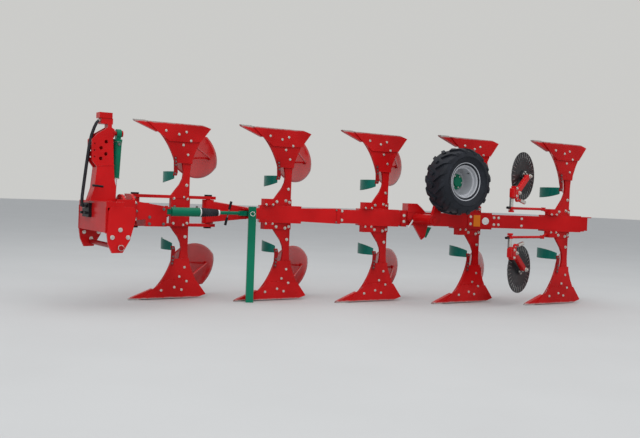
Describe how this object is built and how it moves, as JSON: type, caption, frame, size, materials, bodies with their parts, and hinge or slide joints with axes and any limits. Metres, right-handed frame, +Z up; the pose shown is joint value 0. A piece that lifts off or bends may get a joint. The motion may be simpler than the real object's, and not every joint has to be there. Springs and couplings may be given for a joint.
{
  "type": "moldboard plough",
  "caption": "Mounted reversible mouldboard plough with an angled beam, paired upper and lower bodies, turnover headstock, depth wheel, disc coulters and parking stand.",
  "frame": {"origin": "centre of the bounding box at ground level, under the shares and the stand foot", "axes": "+X rearwards from the headstock to the last body, +Y to the right of travel, +Z up"},
  "size_m": [5.3286, 1.9916, 1.704],
  "materials": {
    "red_paint": "gloss",
    "dark_red_paint": "gloss",
    "green_paint": "gloss",
    "black_steel": "satin",
    "rubber": "matte",
    "tyre_rubber": "matte",
    "silver_rim": "satin",
    "bare_rod": "polished"
  },
  "bodies": {
    "headstock": {"tower": "red_paint", "tower_webs": "red_paint", "hitch_box": "red_paint", "link_plates": "red_paint", "link_shaft": "dark_red_paint", "cap_block": "red_paint", "hoses": "rubber", "hose_block": "black_steel"},
    "turn_cylinder": {"turn_barrel": "green_paint"},
    "turn_piston": {"turn_rod": "bare_rod"},
    "turning_frame": {"turning_hub": "red_paint", "front_link": "red_paint", "pivot_pins": "black_steel", "first_legs": "red_paint", "first_frogs": "red_paint", "first_landsides": "red_paint", "first_points": "red_paint", "first_shares": "red_paint", "first_boards": "red_paint", "first_struts": "dark_red_paint", "first_trash_straps": "red_paint", "first_trashboards": "green_paint"},
    "swing_cylinder": {"swing_barrel": "green_paint"},
    "swing_piston": {"swing_rod": "rubber", "turnbuckle": "green_paint"},
    "main_beam": {"beam_head": "red_paint", "front_beam": "red_paint", "rear_beam": "red_paint", "beam_joints": "red_paint", "body_brackets": "red_paint", "stand_bracket": "red_paint", "wheel_bracket": "red_paint", "depth_block": "green_paint", "coulter_arms": "red_paint", "beam_legs": "red_paint", "beam_frogs": "red_paint", "beam_landsides": "red_paint", "beam_points": "red_paint", "beam_shares": "red_paint", "beam_boards": "red_paint", "beam_struts": "dark_red_paint", "beam_trash_straps": "red_paint", "beam_trashboards": "green_paint"},
    "stand": {"stand_leg": "green_paint"},
    "wheel_swing_arm": {"wheel_arm": "red_paint"},
    "wheel": {"tyre": "tyre_rubber", "rim": "silver_rim", "wheel_hub": "green_paint"},
    "lower_coulter": {"lower_coulter_fork": "red_paint"},
    "upper_coulter": {"upper_coulter_fork": "red_paint"},
    "lower_coulter_disc": {"lower_disc": "black_steel"},
    "upper_coulter_disc": {"upper_disc": "black_steel"}
  },
  "joints": [
    {"name": "turnover", "type": "hinge", "parent": "headstock", "child": "turning_frame", "pos_m": [-2.28479, 0.2408, 0.851], "axis": [-1, 0, 0], "range_deg": [0, 180]},
    {"name": "turn_cylinder_swing", "type": "hinge", "parent": "headstock", "child": "turn_cylinder", "pos_m": [-2.37679, 0.2408, 1.53], "axis": [-1, 0, 0], "range_deg": [0, 16.76]},
    {"name": "turn_rod_slide", "type": "slide", "parent": "turn_cylinder", "child": "turn_piston", "axis": [0, 0.1457, -0.9893], "range_m": [0, 0.093]},
    {"name": "frame_swing", "type": "hinge", "parent": "turning_frame", "child": "main_beam", "pos_m": [-1.33479, 0.6008, 0.851], "axis": [0, 0, 1], "range_deg": [0, 10]},
    {"name": "swing_cylinder_turn", "type": "hinge", "parent": "turning_frame", "child": "swing_cylinder", "pos_m": [-1.90479, 0.2408, 0.851], "axis": [0, 0, 1], "range_deg": [0, 3.04]},
    {"name": "swing_rod_slide", "type": "slide", "parent": "swing_cylinder", "child": "swing_piston", "axis": [1, 0, 0], "range_m": [0, 0.0602]},
    {"name": "stand_fold", "type": "hinge", "parent": "main_beam", "child": "stand", "pos_m": [-1.07981, 0.13002, 0.851], "axis": [-0.3502, -0.9367, 0], "range_deg": [0, 90]},
    {"name": "wheel_arm_swing", "type": "hinge", "parent": "main_beam", "child": "wheel_swing_arm", "pos_m": [0.53925, -0.6092, 0.851], "axis": [0, -1, 0], "range_deg": [0, 216.33]},
    {"name": "wheel_spin", "type": "hinge", "parent": "wheel_swing_arm", "child": "wheel", "pos_m": [0.66525, -0.80421, 1.235], "axis": [0, 1, 0], "continuous": true},
    {"name": "lower_coulter_swivel", "type": "hinge", "parent": "main_beam", "child": "lower_coulter", "pos_m": [1.26521, -0.9292, 0.706], "axis": [0, 0, 1], "range_deg": [-15, 15]},
    {"name": "upper_coulter_swivel", "type": "hinge", "parent": "main_beam", "child": "upper_coulter", "pos_m": [1.26521, -0.9292, 0.996], "axis": [0, 0, 1], "range_deg": [-15, 15]},
    {"name": "lower_disc_spin", "type": "hinge", "parent": "lower_coulter", "child": "lower_coulter_disc", "pos_m": [1.50216, -0.83328, 0.376], "axis": [-0.309, 0.9511, 0], "continuous": true},
    {"name": "upper_disc_spin", "type": "hinge", "parent": "upper_coulter", "child": "upper_coulter_disc", "pos_m": [1.50216, -0.83328, 1.326], "axis": [-0.309, 0.9511, 0], "continuous": true}
  ],
  "couplings": [
    {"joint": "turn_cylinder_swing", "follows": "turnover", "ratio": 0.093089},
    {"joint": "swing_cylinder_turn", "follows": "frame_swing", "ratio": 0.3042},
    {"joint": "swing_rod_slide", "follows": "frame_swing", "m_per_rad": 0.34494}
  ]
}
